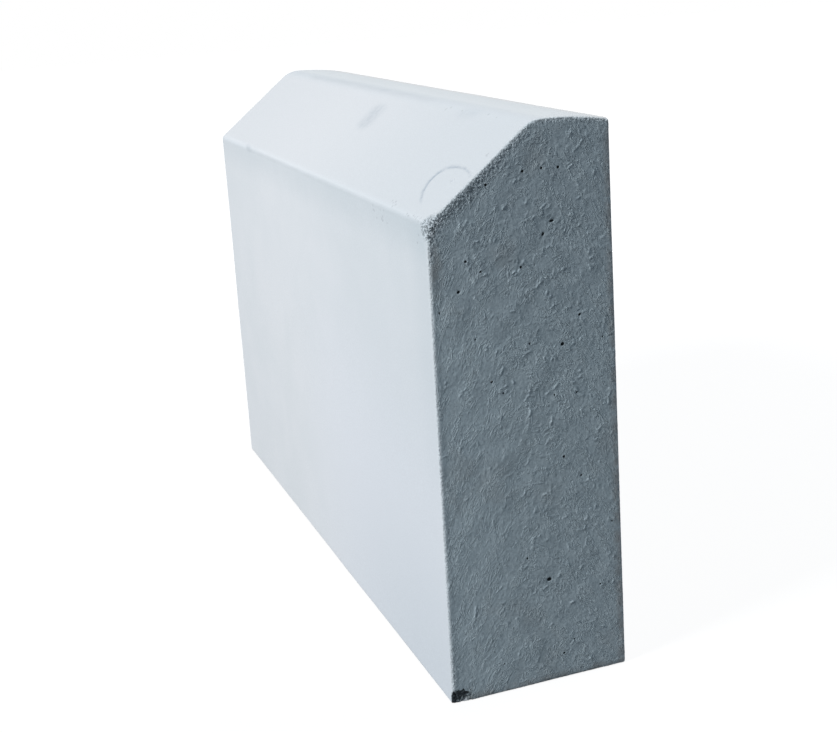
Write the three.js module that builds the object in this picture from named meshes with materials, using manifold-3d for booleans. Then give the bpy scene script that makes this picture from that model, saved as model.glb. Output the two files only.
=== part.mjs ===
// A splayed concrete kerb stone: one precast block that stands on its base at the edge of a road.
//
// Frame: millimetres, +Z up, origin at the centre of the base. X runs along the stone, -Y is the road
// side with the splay, +Y is the back, and +X is the end with the broken corner.
//
// The section is drawn once and extruded along the stone. The front and back lean in a little so that
// the block leaves its mould, a splay cuts off the road-side top corner, its foot and crest are rounded,
// and the top is crowned and falls to the back. Every other edge is an eased arris.

import * as THREE from "three";
import { mergeVertices } from "three/addons/utils/BufferGeometryUtils.js";
import Module from "manifold-3d";

// Overall sizes.
const STONE_LENGTH = 450;
const STONE_HEIGHT = 300; // base to crest
const BASE_WIDTH = 102;

// Mould draft: how far each face leans in from the base to its own top edge.
const FRONT_DRAFT = 1.5;
const BACK_DRAFT = 1.5;

// The splay, measured to the sharp corners that its two radii round off.
const SPLAY_WIDTH = 57;
const SPLAY_DROP = 45;
const SPLAY_FOOT_RADIUS = 4;
const SPLAY_CREST_RADIUS = 20;

// The top is level at the crest and lower at the back by this much.
const TOP_FALL = 3.5;

// Eased edges.
const BACK_ARRIS_RADIUS = 1.5;
const BASE_ARRIS_RADIUS = 1.5;
const END_ARRIS_RADIUS = 1;

// The broken corner at the foot of the +X end, as far as the break reaches along X, Y and Z, and how
// far it is tipped up away from the road side.
const BREAK_LENGTH = 2;
const BREAK_WIDTH = 12;
const BREAK_HEIGHT = 7.5;
const BREAK_TIP_ANGLE = THREE.MathUtils.degToRad(12);

// Fineness of the curves. Section points nearer together than SHORTEST_CHORD are one point.
const ARC_DIVISIONS = 6;
const END_ARRIS_STEPS = 4;
const BREAK_FACETING = 2;
const SHORTEST_CHORD = 0.01;

// The end arris stays inside the section's smallest rounding by this share of it.
const END_ARRIS_LIMIT = 0.9;

// Vertices this near together are merged before a boolean cut.
const MERGE_DISTANCE = 1e-4;

const CONCRETE = { color: 0xcbcfd2, roughness: 0.88, metalness: 0 };

const quarterTurn = Math.PI / 2;

// Rounds `corner` of a counterclockwise outline, arriving along `incoming` and leaving along `outgoing`.
function roundCorner(outline, corner, incoming, outgoing, radius) {
  const turn = incoming.angleTo(outgoing);
  const tangentLength = radius * Math.tan(turn / 2);
  const inward = new THREE.Vector2(-incoming.y, incoming.x);
  const centre = corner
    .clone()
    .addScaledVector(incoming, -tangentLength)
    .addScaledVector(inward, radius);
  const startAngle = incoming.angle() - quarterTurn;
  outline.absarc(centre.x, centre.y, radius, startAngle, startAngle + turn, false);
}

// The cross-section, with Shape x as the stone's Y and Shape y as its Z, counterclockwise from the base.
function kerbSection() {
  const baseFront = new THREE.Vector2(-BASE_WIDTH / 2, 0);
  const baseBack = new THREE.Vector2(BASE_WIDTH / 2, 0);
  const topBack = new THREE.Vector2(baseBack.x - BACK_DRAFT, STONE_HEIGHT - TOP_FALL);
  const splayFoot = new THREE.Vector2(baseFront.x + FRONT_DRAFT, STONE_HEIGHT - SPLAY_DROP);
  const splayCrest = new THREE.Vector2(splayFoot.x + SPLAY_WIDTH, STONE_HEIGHT);

  const alongBase = new THREE.Vector2(1, 0);
  const upBack = topBack.clone().sub(baseBack).normalize();
  const levelTop = new THREE.Vector2(-1, 0);
  const downSplay = splayFoot.clone().sub(splayCrest).normalize();
  const downFront = baseFront.clone().sub(splayFoot).normalize();

  // The crown is an arc that is level where the crest's rounding ends and passes through topBack.
  const crestTurn = levelTop.angleTo(downSplay);
  const crownStart = splayCrest.x + SPLAY_CREST_RADIUS * Math.tan(crestTurn / 2);
  const crownSpan = topBack.x - crownStart;
  const crownRadius = (crownSpan ** 2 + TOP_FALL ** 2) / (2 * TOP_FALL);
  const crownCentre = new THREE.Vector2(crownStart, STONE_HEIGHT - crownRadius);

  // The back arris touches the back face and the crown, so its centre lies one radius inside both.
  const intoBack = new THREE.Vector2(-upBack.y, upBack.x);
  const insetBack = baseBack.clone().addScaledVector(intoBack, BACK_ARRIS_RADIUS);
  const fromCrown = insetBack.clone().sub(crownCentre);
  const alongBack = upBack.dot(fromCrown);
  const climb =
    Math.sqrt(alongBack ** 2 - fromCrown.lengthSq() + (crownRadius - BACK_ARRIS_RADIUS) ** 2) - alongBack;
  const arrisCentre = insetBack.clone().addScaledVector(upBack, climb);
  const arrisStart = upBack.angle() - quarterTurn;
  const arrisEnd = arrisCentre.clone().sub(crownCentre).angle();

  const outline = new THREE.Shape();
  roundCorner(outline, baseBack, alongBase, upBack, BASE_ARRIS_RADIUS);
  outline.absarc(arrisCentre.x, arrisCentre.y, BACK_ARRIS_RADIUS, arrisStart, arrisEnd, false);
  outline.absarc(crownCentre.x, crownCentre.y, crownRadius, arrisEnd, quarterTurn, false);
  roundCorner(outline, splayCrest, levelTop, downSplay, SPLAY_CREST_RADIUS);
  roundCorner(outline, splayFoot, downSplay, downFront, SPLAY_FOOT_RADIUS);
  roundCorner(outline, baseFront, downFront, alongBase, BASE_ARRIS_RADIUS);

  // Neighbouring curves share an end point, which the section keeps only once.
  const points = outline.getPoints(ARC_DIVISIONS);
  return new THREE.Shape(
    points.filter((point, index) => point.distanceTo(points.at(index - 1)) > SHORTEST_CHORD),
  );
}

// The whole block, its section extruded along X with both end arrises eased.
function kerbBlock() {
  // The arris insets the section at each end, so a rounding smaller than it would turn inside out.
  const smallestRounding = Math.min(
    BASE_ARRIS_RADIUS,
    BACK_ARRIS_RADIUS,
    SPLAY_FOOT_RADIUS,
    SPLAY_CREST_RADIUS,
  );
  const easing = Math.min(END_ARRIS_RADIUS, END_ARRIS_LIMIT * smallestRounding);
  const block = new THREE.ExtrudeGeometry(kerbSection(), {
    depth: STONE_LENGTH - 2 * easing,
    curveSegments: ARC_DIVISIONS,
    bevelEnabled: true,
    bevelThickness: easing,
    bevelSize: easing,
    bevelOffset: -easing,
    bevelSegments: END_ARRIS_STEPS,
  });
  block.translate(0, 0, easing - STONE_LENGTH / 2);
  // Section x, y and the extrusion's z become the stone's Y, Z and X.
  block.applyQuaternion(new THREE.Quaternion(0.5, 0.5, 0.5, 0.5));
  return block;
}

// The lump of concrete that has broken off the road-side foot of the +X end.
function brokenCorner() {
  const lump = new THREE.IcosahedronGeometry(1, BREAK_FACETING);
  lump.scale(BREAK_LENGTH, BREAK_WIDTH, BREAK_HEIGHT);
  lump.rotateX(BREAK_TIP_ANGLE);
  lump.translate(STONE_LENGTH / 2, -BASE_WIDTH / 2, 0);
  return lump;
}

// A closed three.js geometry as a manifold-3d solid.
function solidFrom(wasm, geometry) {
  const shell = new THREE.BufferGeometry();
  shell.setAttribute("position", geometry.getAttribute("position"));
  if (geometry.index) shell.setIndex(geometry.index);
  const merged = mergeVertices(shell, MERGE_DISTANCE);
  return new wasm.Manifold(
    new wasm.Mesh({
      numProp: 3,
      vertProperties: merged.getAttribute("position").array,
      triVerts: new Uint32Array(merged.index.array),
    }),
  );
}

// A manifold-3d solid as a three.js geometry with flat facets.
function geometryFrom(solid) {
  const mesh = solid.getMesh();
  const geometry = new THREE.BufferGeometry();
  geometry.setAttribute("position", new THREE.BufferAttribute(mesh.vertProperties, 3));
  geometry.setIndex(new THREE.BufferAttribute(mesh.triVerts, 1));
  const faceted = geometry.toNonIndexed();
  faceted.computeVertexNormals();
  return faceted;
}

const wasm = await Module();
wasm.setup();

const brokenBlock = solidFrom(wasm, kerbBlock()).subtract(solidFrom(wasm, brokenCorner()));

const kerbStone = new THREE.Mesh(
  geometryFrom(brokenBlock),
  new THREE.MeshStandardMaterial(CONCRETE),
);
kerbStone.name = "kerb_stone";

const kerb = new THREE.Group();
kerb.add(kerbStone);

export default kerb;
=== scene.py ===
"""A splayed concrete kerb stone: its cast surface, its wear, and a plain studio around it.

One closed mesh takes the place of the CAD block. It has the same section and length, and adds what a
real stone has on top of them: wrinkled ends, air holes, crumbled arrises, a worn and a broken corner,
pits and a ring mark. The stone's lengths are millimetres until its mesh is written, and the studio's are
metres, all in the part's own axes.
"""

import math
from collections import namedtuple

import bpy
import numpy as np
from mathutils import Matrix, Vector
from mathutils.geometry import delaunay_2d_cdt


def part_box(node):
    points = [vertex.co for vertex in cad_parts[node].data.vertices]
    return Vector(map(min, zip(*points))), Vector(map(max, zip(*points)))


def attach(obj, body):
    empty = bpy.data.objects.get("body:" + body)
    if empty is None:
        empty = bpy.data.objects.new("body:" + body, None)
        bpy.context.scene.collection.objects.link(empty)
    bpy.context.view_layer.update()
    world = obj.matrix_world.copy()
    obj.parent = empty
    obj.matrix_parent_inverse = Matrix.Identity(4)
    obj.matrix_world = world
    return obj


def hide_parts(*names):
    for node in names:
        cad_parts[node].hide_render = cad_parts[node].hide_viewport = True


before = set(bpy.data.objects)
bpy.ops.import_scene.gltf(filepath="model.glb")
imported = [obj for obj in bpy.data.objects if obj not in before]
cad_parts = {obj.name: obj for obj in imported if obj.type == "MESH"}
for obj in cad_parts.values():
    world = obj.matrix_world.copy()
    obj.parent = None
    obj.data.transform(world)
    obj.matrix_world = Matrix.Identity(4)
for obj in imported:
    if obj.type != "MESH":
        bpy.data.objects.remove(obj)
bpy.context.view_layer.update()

MM = 0.001
RANDOM_SEED = 20457
PIT_SEED = 311

# ---- Driving sizes. The overall ones come from the CAD block, and the rest are its section's own.

BLOCK_LOW, BLOCK_HIGH = (np.array(corner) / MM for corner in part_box("kerb_stone"))
STONE_LENGTH = BLOCK_HIGH[0] - BLOCK_LOW[0]
STONE_HEIGHT = BLOCK_HIGH[2] - BLOCK_LOW[2]
BASE_WIDTH = BLOCK_HIGH[1] - BLOCK_LOW[1]
END_X = STONE_LENGTH / 2  # the other end is at -END_X
HALF_WIDTH = BASE_WIDTH / 2
FRONT_DRAFT = 1.5
BACK_DRAFT = 1.5
SPLAY_WIDTH = 57.0
SPLAY_DROP = 45.0
SPLAY_FOOT_RADIUS = 4.0
SPLAY_CREST_RADIUS = 20.0
TOP_FALL = 3.5
BACK_ARRIS_RADIUS = 1.5
BASE_ARRIS_RADIUS = 1.5
END_ARRIS_RADIUS = 1.0

# The broken corner at the foot of the +X end.
BREAK_REACH = np.array([2.0, 12.0, 7.5])
BREAK_TIP_ANGLE = math.radians(12)

# Two lines on the end face, in Y and Z, past which the break is paler: towards the front and the base.
BREAK_FRONT_LINE = (-52.3, 4.4), (-48.0, 9.7)
BREAK_BASE_LINE = (-38.0, 6.0), (-44.5, 1.8)

# Air holes on the +X end: across from the middle, up from the base, diameter, how much longer one is
# than it is wide, and which way its length points, in degrees. On the -X end they are random.
AIR_HOLES = [
    (2, 275, 1.4, 1, 0), (12, 275.5, 1.2, 1, 0), (21, 275, 1.4, 1, 0), (-17.5, 270.5, 1.3, 1, 0),
    (16.5, 249, 1.3, 1.9, 5), (11.5, 243, 1.3, 1.5, 60), (-30, 234.5, 1.2, 1.2, 0),
    (-1, 228, 1.3, 1, 0), (-34.5, 220, 1.4, 1.2, 30), (-45, 211, 0.9, 1.2, 90),
    (-22.5, 228.5, 1, 1.2, 0), (30, 199.5, 1.2, 1.3, 40), (42.5, 186, 0.7, 1.2, 20),
    (-27, 195, 0.9, 1, 0), (2, 188.5, 1.1, 1, 0), (20, 185.5, 1.7, 1.15, 0), (-19.5, 172, 1.2, 1.1, 0),
    (-13.5, 165, 1, 1, 0), (14.5, 159.5, 1, 1, 0), (27, 159, 0.9, 1.3, 80), (18.5, 125.5, 1.4, 1, 0),
    (28, 113.5, 1, 1.2, 30), (45, 84.5, 0.8, 1.4, 0), (-4.5, 73.5, 1.1, 1, 0), (7.5, 59, 2, 1.35, 0),
    (37, 50, 1, 1, 0), (20.5, 21.5, 0.8, 1, 0), (14.5, 14.5, 1.2, 1, 0), (-20.5, 16.5, 0.9, 1, 0),
]
FAR_HOLE_COUNT = 26
FAR_HOLES_ACROSS = -46, 46
FAR_HOLES_UP = 6, 292
FAR_HOLE_DIAMETERS = 1.1, 2.2
FAR_HOLE_SPACING = 7
FAR_HOLE_MARGIN = 5

# Groups of small pits near the foot of the splay: middle along the stone and up the splay from its foot
# or, below zero, down the front, how far the group reaches each way, and how many there are.
PIT_GROUPS = [
    (154.5, -5, 12, 3.5, 12), (168, 4, 6, 1.8, 5), (203, 0.8, 12, 2, 9),
    (213, -9, 8, 4.5, 3), (218, 46.5, 3.5, 1, 3), (150, 69, 40, 3, 6),
]
PIT_DIAMETERS = 0.9, 1.4

# The long ring pressed into the splay near the +X end, in the plane of the splay, and the crater inside it.
RING_X = 210.5
RING_UP_SPLAY = 20.8
RING_HALF_LENGTH = 27.0
RING_HALF_HEIGHT = 14.2
RING_TILT = math.radians(-12)
RING_GROOVE = 0.6
RING_SMUDGE = 1.5
RING_DEPTH = 0.4
RING_LIP = 0.1
RING_START = math.radians(58)
RING_END = math.radians(258)
CRATER_X = 207.5
CRATER_UP_SPLAY = 27.2
CRATER_RADIUS = 1.5
CRATER_DEPTH = 0.45
CRATER_RIM = 0.2
CRATER_RIM_WIDTH = 0.45

# Dirt marks, in the plane of the splay: where each starts and ends, how far it reaches, how much longer
# it is along the stone, and how dark it is. They are a smear, a stain on the foot, and two on the crest.
DIRT_MARKS = [
    ((28, 45.5), (26.5, 57), 7.5, 2.4, 0.34), ((-145, 1.2), (-135, -0.8), 3.4, 2.2, 0.24),
    ((-1, 73.5), (3, 74.5), 4, 2, 0.16), ((148, 67.5), (160, 69), 6.5, 2, 0.15),
]

# Darker lines along the foot and the crest: how far up the splay each is, and where it starts and ends.
FOOT_LINE = -0.6, -END_X + 80, END_X
CREST_LINE = 73.0, -150.0, 75.0

# How far up the splay the painted shade on the crest's rounding is greyest.
CREST_UP_SPLAY = 74.0

# The camera, from a fit to the block's corners in the 837 by 733 frame.
FRAME_WIDTH = 837
FRAME_HEIGHT = 733
FOCAL_PIXELS = 1387.7
PRINCIPAL_POINT = (421.8, 341.8)
CAMERA_PLACE = Vector((0.8362, -0.2691, 0.3760))
CAMERA_AZIMUTH = math.radians(70.708)
CAMERA_ELEVATION = math.radians(15.338)
CAMERA_ROLL = math.radians(3.677)
SENSOR_WIDTH = 36.0

# ---- Plain sums


def unit(vectors):
    """One vector, or each row of them, scaled to length 1."""
    return vectors / np.linalg.norm(vectors, axis=-1, keepdims=True)


def turned(u, v, angle):
    """A place or direction in a plane, turned counterclockwise."""
    c, s = math.cos(angle), math.sin(angle)
    return u * c - v * s, u * s + v * c


def smoothstep(low, high, value):
    share = np.clip((value - low) / (high - low), 0, 1)
    return share * share * (3 - 2 * share)


def bell(value, width, power=2):
    return np.exp(-((value / width) ** power))


def past(value, start):
    return np.maximum(value - start, 0)


# ---- The section


def rounding(corner, incoming, outgoing, radius):
    """The arc that rounds a corner of a counterclockwise outline: its centre, radius and two angles."""
    turn = math.acos(np.clip(incoming @ outgoing, -1, 1))
    inward = np.array([-incoming[1], incoming[0]])
    centre = corner - incoming * radius * math.tan(turn / 2) + inward * radius
    start = math.atan2(incoming[1], incoming[0]) - math.pi / 2
    return centre, radius, start, start + turn


class Section:
    """The block's cross-section in Y and Z, as a function of the distance around it from mid-base."""

    SAMPLE_STEP = 0.05

    def __init__(self):
        base_front = np.array([-HALF_WIDTH, 0.0])
        base_back = np.array([HALF_WIDTH, 0.0])
        top_back = np.array([HALF_WIDTH - BACK_DRAFT, STONE_HEIGHT - TOP_FALL])
        self.foot = np.array([-HALF_WIDTH + FRONT_DRAFT, STONE_HEIGHT - SPLAY_DROP])
        crest = np.array([self.foot[0] + SPLAY_WIDTH, STONE_HEIGHT])
        along_base = np.array([1.0, 0.0])
        level_top = np.array([-1.0, 0.0])
        up_back = unit(top_back - base_back)
        self.up_splay = unit(crest - self.foot)
        self.down_front = unit(base_front - self.foot)

        # The crown is level where the crest's rounding ends, and the back arris touches it.
        crest_turn = math.acos(np.clip(level_top @ -self.up_splay, -1, 1))
        crown_start = crest[0] + SPLAY_CREST_RADIUS * math.tan(crest_turn / 2)
        span = top_back[0] - crown_start
        crown_radius = (span**2 + TOP_FALL**2) / (2 * TOP_FALL)
        crown_centre = np.array([crown_start, STONE_HEIGHT - crown_radius])
        into_back = np.array([-up_back[1], up_back[0]])
        inset_back = base_back + into_back * BACK_ARRIS_RADIUS
        from_crown = inset_back - crown_centre
        along = up_back @ from_crown
        inner_radius = crown_radius - BACK_ARRIS_RADIUS
        climb = math.sqrt(along**2 - from_crown @ from_crown + inner_radius**2) - along
        arris_centre = inset_back + up_back * climb
        arris_start = math.atan2(up_back[1], up_back[0]) - math.pi / 2
        arris_end = math.atan2(*(arris_centre - crown_centre)[::-1])

        self.crown = crown_centre, crown_radius
        # The straight faces, each as a point on it and its inward normal.
        self.faces = {
            "base": (base_front, np.array([0.0, 1.0])),
            "back": (base_back, into_back),
            "front": (base_front, np.array([-self.down_front[1], self.down_front[0]])),
            "splay": (self.foot, np.array([self.up_splay[1], -self.up_splay[0]])),
        }
        self.trace({
            "base_back": rounding(base_back, along_base, up_back, BASE_ARRIS_RADIUS),
            "back_top": (arris_centre, BACK_ARRIS_RADIUS, arris_start, arris_end),
            "crown": (crown_centre, crown_radius, arris_end, math.pi / 2),
            "crest": rounding(crest, level_top, -self.up_splay, SPLAY_CREST_RADIUS),
            "foot": rounding(self.foot, -self.up_splay, self.down_front, SPLAY_FOOT_RADIUS),
            "base_front": rounding(base_front, self.down_front, along_base, BASE_ARRIS_RADIUS),
        })

    def trace(self, arcs):
        """Samples the outline: its points and normals, and how far around it each arc starts and ends."""
        points, normals, marks = [np.zeros((1, 2))], [np.array([[0.0, -1.0]])], {}
        for name, (centre, radius, start, end) in arcs.items():
            count = 2 + math.ceil(radius * (end - start) / self.SAMPLE_STEP)
            angle = np.linspace(start, end, count)
            direction = np.column_stack([np.cos(angle), np.sin(angle)])
            first = sum(map(len, points))
            points.append(centre + radius * direction)
            normals.append(direction)
            marks[name] = (first, first + count - 1)
        points.append(np.zeros((1, 2)))
        normals.append(np.array([[0.0, -1.0]]))
        self.points = np.concatenate(points)
        self.normals = np.concatenate(normals)
        steps = np.hypot(*np.diff(self.points, axis=0).T)
        self.around = np.concatenate([[0.0], np.cumsum(steps)])
        self.perimeter = self.around[-1]
        self.spans = {name: tuple(self.around[list(pair)]) for name, pair in marks.items()}
        self.foot_line = sum(self.spans["foot"]) / 2

    def read(self, values, around):
        around = np.mod(around, self.perimeter)
        return np.column_stack([np.interp(around, self.around, values[:, k]) for k in (0, 1)])

    def place(self, around):
        return self.read(self.points, around)

    def normal(self, around):
        return unit(self.read(self.normals, around))

    def depth(self, face, place):
        """How far inside one of its faces points of the section lie."""
        if face == "crown":
            centre, radius = self.crown
            return radius - np.hypot(*(place - centre).T)
        point, inward = self.faces[face]
        return (place - point) @ inward

    def least_depth(self, faces, place):
        return np.min([self.depth(face, place) for face in faces], axis=0)

    def outward(self, place):
        """The outward direction from the nearest of the shown faces, turned gradually between them."""
        centre, radius = self.crown
        directions = (-self.faces["front"][1], -self.faces["splay"][1], (place - centre) / radius)
        nearness = (np.exp(-self.depth(face, place) / FACE_BLEND)[:, None] for face in SHOWN_FACES)
        return unit(sum(direction * near for direction, near in zip(directions, nearness)))


def ring_place(x, up):
    """How far outside the ring a point of the splay is, and at what angle round it."""
    from_middle = x - RING_X, up - RING_UP_SPLAY
    along, across = turned(*from_middle, -RING_TILT)
    along, across = along / RING_HALF_LENGTH, across / RING_HALF_HEIGHT
    share = np.maximum(np.hypot(along, across), 0.01)
    return np.hypot(*from_middle) * (1 - 1 / share), np.arctan2(across, along)


def scattered_pits(rng):
    """Pits of each group: place along the stone, up the splay from its foot, and diameter."""
    pits = []
    for x, up, reach_x, reach_up, count in PIT_GROUPS:
        for _ in range(count):
            along = x + reach_x * rng.uniform(-1, 1)
            pits.append((along, up + reach_up * rng.uniform(-1, 1), rng.uniform(*PIT_DIAMETERS)))
    return pits


section = Section()
PITS = scattered_pits(np.random.default_rng(PIT_SEED))
SHOWN_FACES = "front", "splay", "crown"
ALL_FACES = *SHOWN_FACES, "back", "base"
FACE_BLEND = 0.7
WEAR_BLEND = 2.5
WORN_CORNER = np.array([END_X, *section.foot])
BROWN_PATCH = (END_X, -47.0, 242.0), (END_X, -46.0, 228.0)


def on_splay(x, up):
    """The place in space of a point on the splay, on the front below it or on the crown past it."""
    y, z = section.place(np.array([section.foot_line - up]))[0]
    return x, y, z


def along_splay(up, start=-END_X, end=END_X):
    return on_splay(start, up), on_splay(end, up)


# ---- Noise on a grid


class Grid:
    """A rectangle of points one step apart. Numbers on it are read anywhere by linear interpolation."""

    def __init__(self, low, high, step):
        self.low = np.array(low, float)
        self.step = step
        self.size = np.ceil((np.array(high) - self.low) / step).astype(int) + 2

    def axes(self):
        u, v = (self.low[k] + self.step * np.arange(self.size[k]) for k in (0, 1))
        return u[:, None], v[None, :]

    def noise(self, rng, wavelength, width=0.5, stretch=1.0, heading=0.0):
        """Smooth noise of about one wavelength, longer by `stretch` along `heading`."""
        white = np.fft.fft2(rng.standard_normal(self.size))
        fu = np.fft.fftfreq(self.size[0], self.step)[:, None]
        fv = np.fft.fftfreq(self.size[1], self.step)[None, :]
        along, across = turned(fu, fv, -heading)
        cycles = np.hypot(along * wavelength * stretch, across * wavelength)
        values = np.real(np.fft.ifft2(white * bell(cycles - 1, width)))
        return (values - values.mean()) / values.std()

    def read(self, values, points):
        where = (points - self.low) / self.step
        corner = np.clip(np.floor(where).astype(int), 0, self.size - 2)
        fraction = np.clip(where - corner, 0, 1)
        i, j = corner.T
        a, b = fraction.T
        near = values[i, j] * (1 - a) + values[i + 1, j] * a
        far = values[i, j + 1] * (1 - a) + values[i + 1, j + 1] * a
        return near * (1 - b) + far * b

    def bent(self, values, shift_u, shift_v):
        """The values as they are a little way off, by a shift that varies over the grid."""
        u, v = self.axes()
        points = np.column_stack([(u + shift_u).ravel(), (v + shift_v).ravel()])
        return self.read(values, points).reshape(self.size)

    def raise_ridges(self, values, points, heights, widths):
        """Lifts the values to a rounded bump at each point. Where bumps overlap the highest counts."""
        centre = np.round((points - self.low) / self.step).astype(int)
        reach = math.ceil(2.6 * widths.max() / self.step)
        for shift in np.ndindex(2 * reach + 1, 2 * reach + 1):
            cell = centre + np.array(shift) - reach
            off = np.hypot(*(self.low + cell * self.step - points).T)
            kept = ((cell >= 0) & (cell < self.size)).all(axis=1)
            i, j = cell[kept].T
            np.maximum.at(values, (i, j), (heights * np.exp(-0.5 * (off / widths) ** 2))[kept])


def shifted(values, reach):
    """The values moved by each whole step up to `reach` both ways, one copy after another."""
    for shift in np.ndindex(2 * reach + 1, 2 * reach + 1):
        yield np.roll(values, np.array(shift) - reach, axis=(0, 1))


# ---- Wrinkles of the end faces, drawn on a fine grid before there is a mesh

END_GRID = Grid((-HALF_WIDTH - 3, -3), (HALF_WIDTH + 3, STONE_HEIGHT + 3), 0.25)
WRINKLE_STEP = 0.2
WRINKLE_HEADING = math.radians(50)
WRINKLE_LEAN = 0.018  # how much the finest ones bend across the end, for each millimetre

# How many there are, mean and greatest length, how much their headings differ, how much they curl and
# wobble, their least height and what some have above it, and their least and greatest half width.
Wrinkles = namedtuple("Wrinkles", "count length longest spread curl wobble low extra thin thick")
LONG_WRINKLES = Wrinkles(1050, 4.0, 10.0, math.radians(36), 0.14, 0.26, 0.15, 0.26, 0.23, 0.33)
SHORT_WRINKLES = Wrinkles(1800, 2.0, 5.0, math.radians(62), 0.30, 0.28, 0.10, 0.20, 0.22, 0.30)


def draw_wrinkles(rng, values, kind, heading_at, lively):
    """Raises one kind of wrinkle on END_GRID: short, broken, wandering ridges."""
    count = kind.count
    low, high = END_GRID.low, END_GRID.low + END_GRID.step * END_GRID.size
    start = rng.uniform(low, high, (count, 2))
    length = np.clip(kind.length * rng.gamma(2.5, 1 / 2.5, count), kind.longest / 4, kind.longest)
    heading = heading_at(start) + rng.normal(0, kind.spread, count)
    heading += np.where(rng.random(count) < 0.5, math.pi, 0)
    curl = rng.normal(0, kind.curl, count)
    height = (kind.low + kind.extra * rng.random(count) ** 2) * (0.25 + 0.75 * END_GRID.read(lively, start))
    width = rng.uniform(kind.thin, kind.thick, count)
    place = start.copy()
    wobble = np.zeros(count)
    strength = rng.normal(0, 1, count)
    points, heights, widths = [], [], []
    for run in np.arange(0, kind.longest, WRINKLE_STEP):
        left = length > run
        share = run / length
        taper = np.clip(6 * np.minimum(share, 1 - share), 0, 1) * np.clip(0.75 + 0.38 * strength, 0.05, 1.3)
        points.append(place[left])
        heights.append((height * taper)[left])
        widths.append(width[left])
        wobble = 0.86 * wobble + rng.normal(0, kind.wobble, count)
        strength = 0.9 * strength + rng.normal(0, 0.436, count)
        bearing = heading + curl * run + wobble
        place = place + WRINKLE_STEP * np.column_stack([np.cos(bearing), np.sin(bearing)])
    END_GRID.raise_ridges(values, np.concatenate(points), np.concatenate(heights), np.concatenate(widths))


def wrinkle_heading(points):
    """Which way wrinkles point: steep towards the road side, and flatter near the top and the base."""
    y, z = points.T
    middle = 60 - 24 * smoothstep(90, 270, z) - 14 * smoothstep(70, 20, z)
    fan = 0.7 - 0.3 * smoothstep(200, 260, z)
    return np.radians(middle - fan * y)


def end_relief(rng):
    """Heights of an end face on END_GRID, in millimetres outward."""
    y, z = END_GRID.axes()
    turning = END_GRID.noise(rng, 50, 0.6)
    lower = smoothstep(200, 90, z)
    quieter = (1 - 0.3 * lower) * (1 - 0.3 * smoothstep(10, -30, y) * smoothstep(240, 180, z))
    lively = smoothstep(-1.9, 1.0, END_GRID.noise(rng, 20, 0.7)) * quieter

    def heading_at(points):
        return wrinkle_heading(points) + 0.16 * END_GRID.read(turning, points)

    ridges = np.zeros(END_GRID.size)
    draw_wrinkles(rng, ridges, LONG_WRINKLES, heading_at, lively)
    draw_wrinkles(rng, ridges, SHORT_WRINKLES, heading_at, lively)

    bend = [0.9 * END_GRID.noise(rng, 14) for _ in range(2)]
    swell = END_GRID.bent(END_GRID.noise(rng, 5, 0.6, 1.3, WRINKLE_HEADING), *bend)
    ripple = END_GRID.bent(END_GRID.noise(rng, 2.2, 0.6, 1.2, WRINKLE_HEADING), *bend)
    pocked = smoothstep(-2, 26, y) * bell(z - 135, 60)
    pocks = END_GRID.noise(rng, 2.6, 0.45)
    waves = (0.030 * swell + 0.028 * ripple) * (1 - 0.4 * pocked) + (0.022 + 0.03 * pocked) * pocks
    return ridges + (0.3 + 0.7 * lively) * waves + 0.06 * END_GRID.noise(rng, 22) - 0.03


def steepness(heights):
    """How steep the ridges are near each point of END_GRID."""
    smooth = sum(shifted(heights, 1)) / 9
    slope = np.hypot(*np.gradient(smooth, END_GRID.step))
    return np.max(list(shifted(slope, 2)), axis=0)


# ---- The mesh: points on a graded lattice, joined by Delaunay triangles

LATTICE_JITTER = 0.08
BOW = 1e-6
SAME_POINT = 1e-7
NEAR_STEP = 1.0
FAR_STEP = 2.0
END_LEVELS = 2
RIDGE_STEEPNESS = 0.26
BREAK_FINE_REACH = 16.0
RIM_CLEARANCE = 0.5  # beside the spacing of the points
HOLE_CLEARANCE = 1.7  # beside the hole
SIDE_STEP = 0.5
SIDE_LEVELS = 5
COARSEST = 2 ** (SIDE_LEVELS - 1)
ARRIS_LENGTH = END_ARRIS_RADIUS * math.pi / 2
HALF_RUN = END_X - END_ARRIS_RADIUS + ARRIS_LENGTH


def graded_lattice(rng, count_u, count_v, step_u, step_v, level_at, levels):
    """Points of nested triangular lattices: their u, their v and their row.

    Level 0 is the finest, and each level after it is twice as coarse and a part of the one before. A
    point is kept where level_at(u, v) asks for a level that it is part of.
    """
    j, i = np.divmod(np.arange((count_v + 1) * 2 * count_u), 2 * count_u)
    i, j = i[(i + j) % 2 == 0], j[(i + j) % 2 == 0]
    coarsest = np.zeros(len(i), int)
    for level in range(1, levels):
        pitch = 2**level
        coarsest[(j % pitch == 0) & ((i + j) % (2 * pitch) == 0)] = level
    kept = level_at(i * step_u / 2, j * step_v) <= coarsest
    i, j = i[kept], j[kept]
    edge = (j == 0) | (j == count_v)
    u = i * step_u / 2 + rng.uniform(-1, 1, len(i)) * LATTICE_JITTER * step_u
    v = j * step_v + np.where(edge, 0, rng.uniform(-1, 1, len(j)) * LATTICE_JITTER * step_v)
    return u, v, j


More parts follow.
